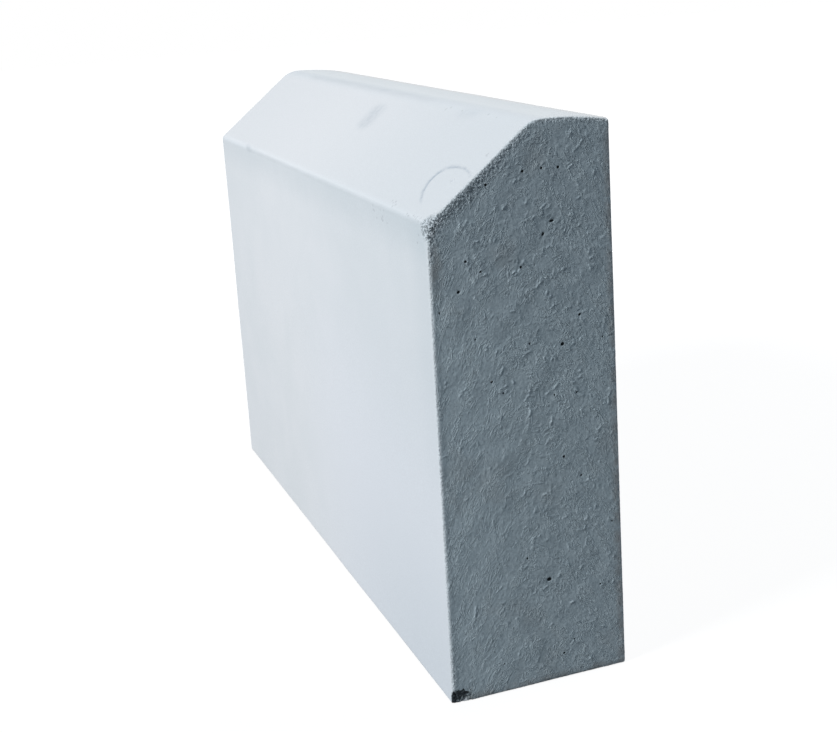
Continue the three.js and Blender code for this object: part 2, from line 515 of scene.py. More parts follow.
def triangles(points, loop=()):
    """Counterclockwise Delaunay triangles of plane points, inside a loop of them if one is given."""
    if len(loop):
        # The points are bowed out a trace, so that no three of the loop's are in one line.
        off = points - points.mean(axis=0)
        points = off * (1 - BOW * (off**2).sum(axis=1))[:, None]
    edges = list(zip(loop, np.roll(loop, -1)))
    keep_inside = int(len(loop) > 0)
    result = delaunay_2d_cdt([tuple(p) for p in points], edges, [], keep_inside, SAME_POINT, True)
    faces, sources = result[2:4]
    origin = np.array([source[0] if source else -1 for source in sources])
    found = origin[np.array([face for face in faces if len(face) == 3])]
    found = found[(found >= 0).all(axis=1)]
    a, b, c = (points[found[:, k]] for k in range(3))
    clockwise = np.cross(b - a, c - a) < 0
    found[clockwise] = found[clockwise][:, ::-1]
    return found


def side_level(around, along):
    """How fine the sides are: 0 for half a millimetre, and one more for each doubling."""
    level = np.full(len(around), SIDE_LEVELS - 1)
    from_near, from_far = 2 * HALF_RUN - along, along
    x, up = along - HALF_RUN, section.foot_line - around

    def finer(where, value):
        level[where] = np.minimum(level[where], value)

    def between(first, last, before, after):
        return (around > section.spans[first][0] - before) & (around < section.spans[last][1] + after)

    def finer_round(middle_x, middle_up, close, closest):
        off = np.hypot(x - middle_x, up - middle_up)
        finer(off < close, 1)
        finer(off < closest, 0)

    # The crown, the splay and their roundings, and the arrises along the stone.
    finer(between("crown", "foot", 0, 0), 3)
    finer(between("crest", "crest", 2, 2), 2)
    for name in ("base_back", "back_top", "foot", "base_front"):
        finer(between(name, name, 1, 1), 1)

    # The ends, and more so where they show.
    shown = between("back_top", "base_front", 4, 2)
    finer((from_near < 40) | (from_far < 20), 3)
    finer((from_near < 20) & shown, 2)
    finer((from_near < 10) | (from_far < 8), 2)
    finer((from_near < 6) & shown, 1)
    finer((from_near < ARRIS_LENGTH + 2) | (from_far < ARRIS_LENGTH + 1.5), 1)
    finer((from_near < ARRIS_LENGTH + 2) & shown, 0)
    finer((from_near < 12) & (abs(up) < 9), 0)
    finer((from_near < 9) & between("base_front", "base_front", 9, 14), 0)

    # The ring, its crater and the pits.
    off_ring = abs(ring_place(x, up)[0])
    finer(off_ring < 5, 1)
    finer(off_ring < 2.2, 0)
    finer_round(CRATER_X, CRATER_UP_SPLAY, CRATER_RADIUS + 2.5, CRATER_RADIUS + 1)
    for pit_x, pit_up, diameter in PITS:
        finer_round(pit_x, pit_up, diameter + 2, diameter)
    return level


def side_skin(rng):
    """The skin along the stone, with both end arrises: places, outward normals, triangles and rims."""
    turns = COARSEST * round(section.perimeter / SIDE_STEP / COARSEST)
    rows = COARSEST * round(2 * HALF_RUN / (SIDE_STEP * math.sqrt(3) / 2) / COARSEST)
    step_u = section.perimeter / turns
    step_v = 2 * HALF_RUN / rows
    around, along, row = graded_lattice(rng, turns, rows, step_u, step_v, side_level, SIDE_LEVELS)
    along -= HALF_RUN

    # The skin closes on itself, so it is joined with a copied margin each side of the seam.
    margin = 2.5 * COARSEST * step_u
    before = np.flatnonzero(around > section.perimeter - margin)
    after = np.flatnonzero(around < margin)
    owner = np.concatenate([np.arange(len(around)), before, after])
    unrolled = around[owner]
    unrolled[len(around):] += np.repeat([-section.perimeter, section.perimeter], [len(before), len(after)])
    faces = triangles(np.column_stack([unrolled, along[owner]]))
    middle = unrolled[faces].mean(axis=1)
    faces = owner[faces[(middle >= 0) & (middle < section.perimeter)]]

    straight = END_X - END_ARRIS_RADIUS
    bend = np.clip((abs(along) - straight) / END_ARRIS_RADIUS, 0, math.pi / 2)
    plane_normal = section.normal(around)
    inset = END_ARRIS_RADIUS * (1 - np.cos(bend))
    place = section.place(around) - plane_normal * inset[:, None]
    side = np.sign(along)
    x = np.where(bend > 0, side * (straight + END_ARRIS_RADIUS * np.sin(bend)), along)
    places = np.column_stack([x, place])
    normals = np.column_stack([side * np.sin(bend), plane_normal * np.cos(bend)[:, None]])
    rims = [np.flatnonzero(row == last) for last in (0, rows)]
    return places, normals, faces, [rim[np.argsort(around[rim])] for rim in rims], around


# Rings of mesh points around and in each air hole: how large beside the hole, and how many points. The
# first is the hole's middle.
HOLE_RINGS = (0.0, 1), (1.45, 14), (1.12, 14), (0.92, 12), (0.6, 8), (0.3, 5)


def hole_outline(hole, share, angle):
    """Points on the outline of an air hole that is scaled by `share`."""
    y, z, diameter, longer, tilt = hole
    radius = share * diameter / 2
    across, up = turned(radius * longer * np.cos(angle), radius * np.sin(angle), math.radians(tilt))
    return np.column_stack([y + across, z + up])


def hole_share(hole, place):
    """How far points are from an air hole's middle, as a share of the way to its edge."""
    y, z, diameter, longer, tilt = hole
    along, across = turned(place[:, 0] - y, place[:, 1] - z, -math.radians(tilt))
    return np.hypot(along / longer, across) / (diameter / 2)


def end_points(rng, rim, coarse_step, steep, holes):
    """Points inside an end face: finer at its ridges and arrises, with rings around the air holes."""
    low, high = rim.min(axis=0), rim.max(axis=0)
    pitch = 2 ** (END_LEVELS - 1)
    step_u = coarse_step / pitch
    step_v = step_u * math.sqrt(3) / 2
    count_u = pitch * math.ceil((high[0] - low[0]) / step_u / pitch)
    count_v = pitch * math.ceil((high[1] - low[1]) / step_v / pitch)

    def level_at(points):
        depth = section.least_depth(SHOWN_FACES, points)
        crumbled = depth < 1.25 * crumble_reach(points) + END_ARRIS_RADIUS
        broken = np.hypot(points[:, 0] + HALF_WIDTH, points[:, 1]) < BREAK_FINE_REACH
        ridged = END_GRID.read(steep, points) > RIDGE_STEEPNESS
        return np.where(ridged | crumbled | broken, 0, 1)

    def level_here(u, v):
        return level_at(np.column_stack([u + low[0], v + low[1]]))

    u, v, _ = graded_lattice(rng, count_u, count_v, step_u, step_v, level_here, END_LEVELS)
    points = np.column_stack([u + low[0], v + low[1]])
    spacing = step_u * 2.0 ** level_at(points)
    keep = section.least_depth(ALL_FACES, points) - END_ARRIS_RADIUS > 1.1 * RIM_CLEARANCE * spacing
    points, spacing = points[keep], spacing[keep]
    # Corners are rounded, so what is still outside the rim or too near it goes as well.
    gap = np.full(len(points), np.inf)
    for chunk in np.array_split(rim, 40):
        gap = np.minimum(gap, np.hypot(*(points[:, None] - chunk[None]).transpose(2, 0, 1)).min(axis=1))
    points = points[(gap > RIM_CLEARANCE * spacing) & inside(points, rim)]
    rings = []
    for hole in holes:
        points = points[hole_share(hole, points) > HOLE_CLEARANCE]
        for share, count in HOLE_RINGS:
            rings.append(hole_outline(hole, share, np.arange(count) * 2 * math.pi / count + share))
    return np.concatenate([points, *rings])


def inside(points, loop):
    """Which points lie inside a counterclockwise convex loop."""
    keep = np.ones(len(points), bool)
    for a, b in zip(loop, np.roll(loop, -1, axis=0)):
        keep &= (b[0] - a[0]) * (points[:, 1] - a[1]) - (b[1] - a[1]) * (points[:, 0] - a[0]) > 0
    return keep


def far_holes(rng):
    """Air holes of the -X end, scattered clear of its edges and of each other."""
    holes = []
    while len(holes) < FAR_HOLE_COUNT:
        y, z = rng.uniform(*FAR_HOLES_ACROSS), rng.uniform(*FAR_HOLES_UP)
        diameter = rng.uniform(*FAR_HOLE_DIAMETERS)
        depth = section.least_depth(ALL_FACES, np.array([[y, z]]))[0]
        apart = all(math.dist((y, z), other[:2]) > FAR_HOLE_SPACING for other in holes)
        if depth > FAR_HOLE_MARGIN and apart:
            holes.append((y, z, diameter, rng.uniform(1.0, 1.4), rng.uniform(0, 180)))
    return holes


# ---- The relief of the mesh, in millimetres inward, and where each kind of wear is

# How far the faces lie inside the CAD block, to leave room for what rises from them.
END_RECESS = 0.5
SIDE_RECESS = 0.2

BASE_CLEARANCE = 0.02  # above the floor
INTO_STONE = unit(np.array([-0.55, 0.6, 0.58]))
SIDE_GRID = Grid((0, -END_X - 5), (section.perimeter, END_X + 5), 3.0)
CORNER_WEAR = 1.3
CORNER_ROUNDING = 2.6
CORNER_REACH = 9.0
ARRIS_FAN = 5.0
HOLE_DEPTH = 0.75  # beside its diameter
PIT_DEPTH = 0.25  # beside its diameter
# How much painted shade the pits get, beside an air hole's.
PIT_SHADE = 0.2  # beside an air hole's


def by_face(place, front, splay, crown):
    """A value that differs on the front, the splay and the crown, blended by how near each of them is."""
    nearness = np.exp(-np.stack([section.depth(face, place) for face in SHOWN_FACES]) / WEAR_BLEND)
    values = np.stack([np.broadcast_to(value, len(place)) for value in (front, splay, crown)])
    return (values * nearness).sum(axis=0) / nearness.sum(axis=0)


def crumble_reach(place):
    """How far in from the arris the +X end is crumbled, by place on the section."""
    up = (place - section.foot) @ section.up_splay
    down = (place - section.foot) @ section.down_front
    splay = 6.5 + 1.0 * bell(up - 15, 18) - 3.0 * smoothstep(35, 75, up)
    front = 0.8 + 4.6 * bell(down - 3, 13) + 1.8 * bell(place[:, 1] - 14, 9)
    return by_face(place, front, splay, 2.2)


def side_relief(rng, around, x):
    """The gentle waves of the moulded sides."""
    points = np.column_stack([np.mod(around, section.perimeter), x])
    slow = SIDE_GRID.read(SIDE_GRID.noise(rng, 120), points)
    quick = SIDE_GRID.read(SIDE_GRID.noise(rng, 34), points)
    return 0.04 * np.clip(slow, -2, 2) + 0.012 * np.clip(quick, -2, 2)


def grains(rng, places, size):
    """Rough lumps of one size on any surface, from three crossed plane fields."""
    total = np.zeros(len(places))
    for a, b in ((1, 2), (0, 2), (0, 1)):
        pair = places[:, [a, b]]
        low, high = pair.min(axis=0) - 1, pair.max(axis=0) + 1
        grid = Grid(low, high, max(size / 5, (high - low).max() / 2400))
        total += grid.read(grid.noise(rng, size), pair)
    return total / math.sqrt(3)


def hole_profile(place, holes):
    """Depth of the air holes, and how far inside one a point is, from 0 to 1."""
    depth, within = np.zeros((2, len(place)))
    for hole in holes:
        share = hole_share(hole, place)
        near = share < 1.6
        depth[near] += HOLE_DEPTH * hole[2] * smoothstep(1.12, 0.55, share[near])
        within[near] = np.maximum(within[near], smoothstep(1.2, 0.85, share[near]))
    return np.stack([depth, within])


def crumble_amount(places):
    """How crumbled the surface is, from 0 to 1: strongest on the arrises of the +X end."""
    x, place = places[:, 0], places[:, 1:]
    inner = section.least_depth(SHOWN_FACES, place)
    on_end = by_face(place, 0.8, 1.0, 1.0) * bell(past(inner, 0.3), crumble_reach(place), 2.4)
    on_end = np.maximum(on_end, 0.35 * bell(past(section.depth("back", place), 0.3), 0.8))
    on_end = np.maximum(on_end, 0.6 * bell(past(section.depth("base", place), 0.3), 1.1))
    near = bell(past(END_X - x, 0.6), 0.9) * on_end
    outer = section.least_depth(ALL_FACES, place)
    far = 0.7 * bell(past(END_X + x, 0.5), 1.0) * bell(past(outer, 0.5), 1.6)
    from_corner = np.linalg.norm((places - WORN_CORNER) * (0.8, 1, 0.7), axis=1)
    worn = smoothstep(9, 4, from_corner) * smoothstep(10, 2, inner)
    return np.maximum(np.maximum(near, far), worn)


def rounding_wear(places):
    """How far the arrises of the +X end are worn back, and the corner at the foot of the splay more."""
    place = places[:, 1:]
    inner = section.least_depth(SHOWN_FACES, place)
    off_arris = np.hypot(past(END_X, places[:, 0]), past(inner, 0))
    down = (place - section.foot) @ section.down_front
    front = 0.12 + 0.25 * smoothstep(90, 20, down) + 0.35 * bell(place[:, 1] - 14, 9)
    arris = by_face(place, front, 0.5, 0.55) * bell(off_arris, by_face(place, 1.2, 2.0, 1.8))
    off_corner = np.linalg.norm(places - WORN_CORNER, axis=1)
    return arris + CORNER_WEAR * bell(off_arris, CORNER_ROUNDING) * bell(off_corner, CORNER_REACH)


def worn_normals(places, normals):
    """The normals, but fanned out around the +X end's arrises, so that deep wear doesn't fold them."""
    from_near = END_X - places[:, 0]
    inner = section.least_depth(SHOWN_FACES, places[:, 1:])
    worn = (from_near < ARRIS_FAN) & (inner < ARRIS_FAN)
    outward = section.outward(places[worn, 1:]) * (ARRIS_FAN - inner[worn])[:, None]
    normals = normals.copy()
    normals[worn] = unit(np.column_stack([ARRIS_FAN - from_near[worn], outward]))
    return normals


def splay_marks(x, up):
    """The pressed ring, the crater and the pits: depth, and the ring's and the pits' masks."""
    off, angle = ring_place(x, up)
    middle, half = (RING_START + RING_END) / 2, (RING_END - RING_START) / 2
    away = abs(np.mod(angle - middle + math.pi, 2 * math.pi) - math.pi)
    drawn = smoothstep(half, half - 0.5, away) * (END_X - x > 2)
    drawn *= 0.35 + 0.65 * smoothstep(0.5, -0.7, np.cos(angle))
    groove = RING_GROOVE * (1 + RING_SMUDGE * abs(np.cos(angle)))
    ring = bell(off, groove) * drawn
    lip = bell(off - 2.2 * groove, groove) * drawn
    off_crater = np.hypot(x - CRATER_X, up - CRATER_UP_SPLAY)
    crater = smoothstep(1.0, 0.3, off_crater / CRATER_RADIUS)
    rim = bell(off_crater - CRATER_RADIUS, CRATER_RIM_WIDTH)
    depth = RING_DEPTH * ring - RING_LIP * lip + CRATER_DEPTH * crater - CRATER_RIM * rim
    pits = np.zeros(len(x))
    for pit_x, pit_up, diameter in PITS:
        share = np.hypot(x - pit_x, up - pit_up) / (diameter / 2)
        depth += PIT_DEPTH * diameter * smoothstep(1.2, 0.2, share)
        pits = np.maximum(pits, smoothstep(1.4, 0.7, share))
    return depth, np.maximum(ring, 0.5 * crater), pits


def break_corner(rng, places):
    """Moves points inside the broken lump onto its surface, and says how much each one belongs to it."""
    corner = np.array([END_X, -HALF_WIDTH, 0.0])
    nearby = np.flatnonzero(np.linalg.norm(places - corner, axis=1) < 1.6 * BREAK_REACH.max())
    rough = grains(rng, places[nearby], 2.6) * 0.09 + grains(rng, places[nearby], 1.2) * 0.05
    reach = BREAK_REACH * (1 + rough)[:, None]

    def in_lump(vectors):
        """Vectors with the lump's tip undone, in shares of its reach."""
        x, y, z = vectors.T
        return np.column_stack([x, *turned(y, z, -BREAK_TIP_ANGLE)]) / reach

    # Each point inside the lump goes along INTO_STONE until it meets the surface, a unit sphere here.
    place = in_lump(places[nearby] - corner)
    heading = in_lump(np.tile(INTO_STONE, (len(nearby), 1)))
    speed = (heading**2).sum(axis=1)
    closing = (place * heading).sum(axis=1)
    outside = (place**2).sum(axis=1) - 1
    travel = (-closing + np.sqrt(np.maximum(closing**2 - speed * outside, 0))) / speed
    travel = np.where(outside < 0, travel, 0)
    moved = places.copy()
    moved[nearby] += travel[:, None] * INTO_STONE
    moved[:, 2] = np.maximum(moved[:, 2], BASE_CLEARANCE)
    belongs = np.zeros(len(places))
    belongs[nearby] = np.maximum(smoothstep(0, 0.35, travel), smoothstep(0.5, 0, outside))
    return moved, belongs


def whole_skin(rng):
    """The plain stone: places, normals, triangles, the places around its sides, and its two ends.

    Each end is its direction along X, the relief of its face, and its air holes.
    """
    places, normals, faces, (far_rim, near_rim), around = side_skin(rng)
    faces = [faces]
    ends = []
    kinds = (1, near_rim, NEAR_STEP, AIR_HOLES), (-1, far_rim, FAR_STEP, far_holes(rng))
    for sign, rim, step, holes in kinds:
        relief = end_relief(rng)
        loop = places[rim, 1:]
        inner = end_points(rng, loop, step, steepness(relief), holes)
        made = triangles(np.concatenate([loop, inner]), np.arange(len(loop)))
        made = np.concatenate([rim, len(places) + np.arange(len(inner))])[made]
        faces.append(made[:, ::sign])
        x = np.full(len(inner), sign * END_X)
        places = np.concatenate([places, np.column_stack([x, inner])])
        normals = np.concatenate([normals, np.tile([sign, 0.0, 0.0], (len(inner), 1))])
        ends.append((sign, relief, holes))
    return places, normals, np.concatenate(faces), around, ends


def build_mesh():
    """The whole stone: vertex places in millimetres, triangles, and masks of its ends, its wear and broken
    corner, and the painted shade in its air holes, pits and ring.
    """
    rng = np.random.default_rng(RANDOM_SEED)
    places, normals, faces, around, ends = whole_skin(rng)
    normals = worn_normals(places, normals)
    end_share = normals[:, 0] ** 2
    masks = {"end_face": smoothstep(0.3, 0.8, end_share)}
    masks["hole"], masks["ring"] = np.zeros((2, len(places)))
    inward = (1 - end_share) * SIDE_RECESS
    for sign, relief, holes in ends:
        here = normals[:, 0] * sign > 0.01
        place = places[here, 1:]
        depth, within = hole_profile(place, holes) * (end_share[here] > 0.9)
        inward[here] += end_share[here] * (END_RECESS - END_GRID.read(relief, place)) + depth
        # The hole mask darkens the air holes with painted shade.
        masks["hole"][here] = within

    side = slice(len(around))
    side_share = 1 - end_share[side]
    depth, ring, pits = splay_marks(places[side, 0], section.foot_line - around)
    inward[side] += side_share * (side_relief(rng, around, places[side, 0]) + depth)
    # The ring's mask also carries the painted shade of its groove and crater.
    masks["ring"][side] = ring * side_share
    # Painted shade in the pits, on the same mask as the air holes.
    masks["hole"][side] = PIT_SHADE * pits * side_share

    masks["crumble"] = crumble_amount(places)
    rough = masks["crumble"] > 0.02
    lumps = grains(rng, places[rough], 2.0) * 0.4 + grains(rng, places[rough], 1.3) * 0.6
    inward[rough] += masks["crumble"][rough] * np.clip(0.15 + 0.17 * lumps, -0.1, 0.8)
    inward += rounding_wear(places)
    places = places - normals * past(inward, 0)[:, None]
    places, masks["broken"] = break_corner(rng, places)
    return places, faces, masks


def add_object(name, data):
    item = bpy.data.objects.new(name, data)
    bpy.context.scene.collection.objects.link(item)
    return item


def make_stone():
    places, faces, masks = build_mesh()
    mesh = bpy.data.meshes.new("kerb_stone_cast")
    mesh.from_pydata((places * MM).tolist(), [], faces.tolist())
    for name, values in masks.items():
        attribute = mesh.attributes.new(name, "FLOAT", "POINT")
        attribute.data.foreach_set("value", np.clip(values, 0, 1).astype(np.float32))
    mesh.update()
    mesh.shade_smooth()
    return add_object("kerb_stone_cast", mesh)


# ---- Materials


def linear(red, green, blue):
    """A colour given in the 0 to 255 values of a picture, as scene-linear light."""

    def channel(value):
        value /= 255
        return value / 12.92 if value <= 0.04045 else ((value + 0.055) / 1.055) ** 2.4

    return channel(red), channel(green), channel(blue), 1.0


def grey(value):
    return value, value, value, 1.0


class Field:
    """What a shader node gives, a number or a colour that varies over the surface, with arithmetic."""

    def __init__(self, nodes, socket):
        self.nodes = nodes
        self.socket = socket

    def __add__(self, other):
        return self.nodes.math("ADD", self, other)

    def __sub__(self, other):
        return self.nodes.math("SUBTRACT", self, other)

    def __mul__(self, other):
        return self.nodes.math("MULTIPLY", self, other)

    def larger(self, other):
        return self.nodes.math("MAXIMUM", self, other)

    def fit(self, low, high, to_low=0.0, to_high=1.0):
        """Turns low to high into to_low to to_high, with soft ends and nothing past them."""
        values = self, low, high, to_low, to_high
        return self.nodes.add("ShaderNodeMapRange", values, interpolation_type="SMOOTHSTEP")


class Nodes:
    """Short calls that add shader nodes, feed their inputs and give a Field."""

    def __init__(self, tree):
        self.tree = tree
        tree.nodes.clear()

    def node(self, kind, inputs=(), **settings):
        """Adds a node. Its inputs come in order or by key, each a number, a colour or a Field."""
        node = self.tree.nodes.new(kind)
        for name, value in settings.items():
            setattr(node, name, value)
        for key, value in inputs.items() if isinstance(inputs, dict) else enumerate(inputs):
            if isinstance(value, Field):
                self.tree.links.new(value.socket, node.inputs[key])
            else:
                node.inputs[key].default_value = value
        return node

    def add(self, kind, inputs=(), output=0, **settings):
        return Field(self, self.node(kind, inputs, **settings).outputs[output])

    def math(self, operation, *values):
        return self.add("ShaderNodeMath", values, operation=operation)

    def vector(self, operation, *values, output="Vector"):
        return self.add("ShaderNodeVectorMath", values, output, operation=operation)

    def length(self, vector):
        return self.vector("LENGTH", vector, output="Value")

    def mix(self, share, a, b):
        """The colour `a` turned into `b` by a share. Inputs 6 and 7 and output 2 are the colour ones."""
        inputs = {"Factor": share, 6: a, 7: b}
        return self.add("ShaderNodeMix", inputs, 2, data_type="RGBA", clamp_factor=True)

    def attribute(self, name):
        return self.add("ShaderNodeAttribute", output="Fac", attribute_name=name)

    def seen_directly(self):
        """1 for camera rays and what gloss and glass see, and 0 for the light that reaches the stone."""
        rays = "Is Camera Ray", "Is Glossy Ray", "Is Transmission Ray"
        camera, glossy, transmission = (self.add("ShaderNodeLightPath", output=ray) for ray in rays)
        return camera.larger(glossy).larger(transmission)


FRONT_TONES = linear(216, 219, 222), linear(220, 222, 225)
FRONT_FOOT_TONE = linear(222, 224, 229)
TOP_TONE = linear(210, 211, 213)
# Painted shade on the crest's rounding.
CREST_SHADE_TONE = linear(203, 206, 209)
CROWN_TONE = linear(215, 217, 218)
BACK_EDGE_TONE = linear(221, 219, 217)
# Painted shade on the sides, partly a streak near the +X arris.
PAINTED_SHADE_TONE = linear(142, 163, 173)
END_TONES = linear(185, 201, 208), linear(197, 212, 218)
PALE_END_TONE = linear(206, 222, 229)
PORE_TONE = linear(110, 122, 130)
PALE_SPECKLE = linear(236, 244, 248)
# Dirt in the marks on the splay, the darker top of the ends, and painted shade in the ring's groove and its
# crater.
DIRT_AND_SHADE = linear(150, 160, 170)
FOOT_AND_CREST_TONE = linear(152, 154, 156)
BROWN_DIRT = linear(150, 146, 142)
SAND_SHADE = grey(0.12)
RUBBED_TONE = linear(232, 236, 238)
# Dark grains, partly painted shade between the broken grains.
DARK_AND_SHADED_GRAINS = linear(96, 108, 115), linear(74, 84, 90)
PALE_GRAINS = linear(192, 202, 208), linear(199, 208, 214)
BROKEN_TONES = linear(44, 51, 56), linear(112, 122, 129)
# Painted shade in the air holes and pits.
HOLE_SHADE_TONE = linear(46, 52, 56)


class Concrete(Nodes):
    """The cast surface: its colour, with grains, dirt, painted shade in its hollows and on its sides, and
    its finest relief.
    """

    def __init__(self, tree):
        super().__init__(tree)
        self.place = self.vector("MULTIPLY", self.add("ShaderNodeTexCoord", output="Object"), (1 / MM,) * 3)
        axes = self.node("ShaderNodeSeparateXYZ", [self.place]).outputs
        self.x, self.y, self.z = (Field(self, axis) for axis in axes)
        self.end_face = self.attribute("end_face")
        self.side_face = self.math("SUBTRACT", 1.0, self.end_face)
        self.crumble = self.attribute("crumble")
        self.broken = self.attribute("broken")
        self.sand = self.noise(0.8, 2, 0.6)
        self.grain = self.noise(1.05, 3, 0.65)

    def noise(self, wavelength, detail, roughness=0.5, distortion=0.0, where=None):
        inputs = {
            "Vector": where or self.place,
            "Scale": 1 / wavelength,
            "Detail": detail,
            "Roughness": roughness,
            "Distortion": distortion,
        }
        return self.add("ShaderNodeTexNoise", inputs, "Fac")

    def near_line(self, start, end, reach, longer=1.0):
        """1 on the straight line between two points, and 0 from `reach` off it.

        It reaches `longer` times as far along X as across.
        """
        squeeze = Vector((1 / longer, 1.0, 1.0))
        start, end = Vector(start) * squeeze, Vector(end) * squeeze
        run = end - start
        from_start = self.vector("SUBTRACT", self.vector("MULTIPLY", self.place, squeeze), start)
        along = self.vector("DOT_PRODUCT", from_start, run / run.length_squared, output="Value")
        along = self.math("MINIMUM", along.larger(0.0), 1.0)
        nearest = self.add("ShaderNodeVectorMath", {0: run, "Scale": along}, operation="SCALE")
        return self.length(self.vector("SUBTRACT", from_start, nearest)).fit(0.0, reach, 1.0, 0.0)

    def past_line(self, start, end):
        """How far a point of the end face lies left of the line from `start` to `end`, in Y and Z."""
        across, up = unit(np.subtract(end, start))
        return self.z * across - self.y * up + (start[0] * up - start[1] * across)

    def side_colour(self):
        """The moulded sides: even, warmer on the splay and the top, with the crest's rounding greyer in
        painted shade, and with painted shade towards the base, the +X end and below the foot of the splay.
        """
        x, y, z = self.x, self.y, self.z
        foot_y, foot_z = section.foot
        crest_y = foot_y + SPLAY_WIDTH
        back_y = HALF_WIDTH - BACK_DRAFT
        colour = self.mix(self.noise(60, 3, 0.55, 0.4).fit(0.3, 0.7), *FRONT_TONES)
        colour = self.mix(z.fit(230, 90) * x.fit(-80, 90), colour, FRONT_FOOT_TONE)

        crown_tone = self.mix(y.fit(back_y - 16, back_y - 2), CROWN_TONE, BACK_EDGE_TONE)
        top_tone = self.mix(y.fit(crest_y - 4, crest_y + 6), TOP_TONE, crown_tone)
        # Painted shade: a band along the crest's rounding is greyer.
        top_tone = self.mix(self.near_line(*along_splay(CREST_UP_SPLAY), 9.0), top_tone, CREST_SHADE_TONE)
        on_top = z.fit(foot_z - 1, foot_z + 3) * y.fit(back_y - 0.3, back_y - 1.3)
        colour = self.mix(on_top, colour, top_tone)

        on_front = y.fit(foot_y + 1.5, foot_y - 0.2)
        # Painted shade where the light falls off towards the base and the +X end, and in a band below the
        # foot of the splay. Near the +X arris of the front the darker band is partly a streak as well.
        below_foot = z.fit(foot_z - 26, foot_z - 2) * on_front
        near_base = z.fit(110, 0) * x.fit(-END_X / 2, END_X)
        near_end = x.fit(END_X - 34, END_X - 4) * on_front * z.fit(90, 190, 0.0, 0.09)
        towards_end = y.fit(crest_y + 4, crest_y - 6) * x.fit(-60, END_X, 0.0, 0.17)
        painted_shade = near_base * 0.12 + below_foot * 0.16 + near_end + towards_end
        return self.mix(painted_shade * self.side_face, colour, PAINTED_SHADE_TONE)

    def lined_and_dirtied(self, colour):
        """The splay is darker along its foot and its crest, and dirt lies in marks on it."""
        foot_line = self.near_line(*along_splay(*FOOT_LINE), 2.4) * 0.24
        crest_line = self.near_line(*along_splay(*CREST_LINE), 5.5, 5.0) * 0.13
        drawn_out = self.noise(4, 2, where=self.vector("MULTIPLY", self.place, (0.2, 1, 1)))
        along_lines = foot_line.larger(crest_line) * drawn_out.fit(0.3, 0.7, 0.6, 1)
        colour = self.mix(along_lines * self.side_face, colour, FOOT_AND_CREST_TONE)
        uneven = self.noise(4, 3, 0.6).fit(0.3, 0.65, 0.45, 1.0) * self.side_face
        marked = [
            self.near_line(on_splay(*start), on_splay(*end), reach, longer) * darkness
            for start, end, reach, longer, darkness in DIRT_MARKS
        ]
        return self.mix(sum(marked[1:], marked[0]) * uneven, colour, DIRT_AND_SHADE)

    def end_colour(self):
        """The ends are darker and a little blue, darkest at the top, with small dark pores.

        They are brown along the base and the back, and below the worn corner.
        """
        y, z = self.y, self.z
        colour = self.mix(self.noise(9, 4, 0.6, 0.3).fit(0.3, 0.7), *END_TONES)
        colour = self.mix(z.fit(160, 270, 0.0, 0.16), colour, DIRT_AND_SHADE)
        colour = self.mix(z.fit(190, 120) * y.fit(-30, 20, 0.008, 0.024), colour, PALE_SPECKLE)
        colour = self.mix(y.fit(5, -40) * z.fit(250, 170, 0.0, 0.5), colour, PALE_END_TONE)
        speckle = self.noise(1.7, 3, 0.7)
        colour = self.mix(speckle.fit(0.38, 0.55, 0.16, 0.0), colour, PORE_TONE)
        colour = self.mix(speckle.fit(0.5, 0.66, 0.0, 0.16), colour, PALE_SPECKLE)
        colour = self.mix(self.noise(1.4, 2, 0.6).fit(0.60, 0.72, 0.0, 0.4), colour, PORE_TONE)

        patchy = self.noise(7, 3, 0.6).fit(0.3, 0.62)
        edge = z.fit(6.0, 1.5).larger(y.fit(HALF_WIDTH - 7, HALF_WIDTH - 2))
        brown = self.noise(26, 2).fit(0.56, 0.74) * 0.16
        brown = brown.larger(edge * patchy * 0.6)
        brown = brown.larger(self.near_line(*BROWN_PATCH, 7.0) * patchy * 0.5)
        return self.mix(brown, colour, BROWN_DIRT)

    def crumbled(self, colour):
        """Bare grains show where the arrises crumbled, dark and light on the end and pale on the sides. The
        dark grains are partly dark grains and partly painted shade between them.
        """
        at_corner = self.length(self.vector("SUBTRACT", self.place, WORN_CORNER)).fit(12, 6)
        rubbed = self.crumble * self.side_face * at_corner.fit(0, 1, 0.4, 0.1)
        colour = self.mix(rubbed, colour, RUBBED_TONE)
        dark, pale = self.mix(at_corner, *DARK_AND_SHADED_GRAINS), self.mix(at_corner, *PALE_GRAINS)
        bare = self.crumble * (self.end_face * 0.6 + at_corner.fit(0, 1, 0.2, 0.75))
        return self.mix(bare, colour, self.mix(self.grain.fit(0.42, 0.58), dark, pale))

    def hollowed(self, colour):
        """The ring's groove and its crater are darkened with painted shade, the broken corner is dark, and
        the air holes and pits are darkened with painted shade.
        """
        blotchy = self.noise(3.5, 3, 0.65).fit(0.25, 0.7)
        # Painted shade in the ring's groove and its crater.
        colour = self.mix(self.attribute("ring") * blotchy * 0.85, colour, DIRT_AND_SHADE)
        frayed = self.broken + self.noise(1.6, 3, 0.65) * 1.6 - 0.8
        towards_front = self.past_line(*BREAK_FRONT_LINE).fit(-0.6, 0.8, 1.0, 0.15)
        ragged = self.noise(2.0, 3, 0.65) * 7.0 - 3.5
        towards_base = (self.past_line(*BREAK_BASE_LINE) + ragged).fit(-1.6, 1.2, 1.0, 0.1)
        broken = frayed.fit(0.45, 0.65) * towards_front * towards_base
        colour = self.mix(broken, colour, self.mix(self.grain.fit(0.42, 0.66), *BROKEN_TONES))
        # Painted shade inside the air holes and the pits.
        return self.mix(self.attribute("hole"), colour, HOLE_SHADE_TONE)

    def colour(self):
        colour = self.mix(self.end_face, self.lined_and_dirtied(self.side_colour()), self.end_colour())
        colour = self.mix(self.sand.fit(0.3, 0.75, 0.07, 0.0), colour, SAND_SHADE)
        return self.hollowed(self.crumbled(colour))

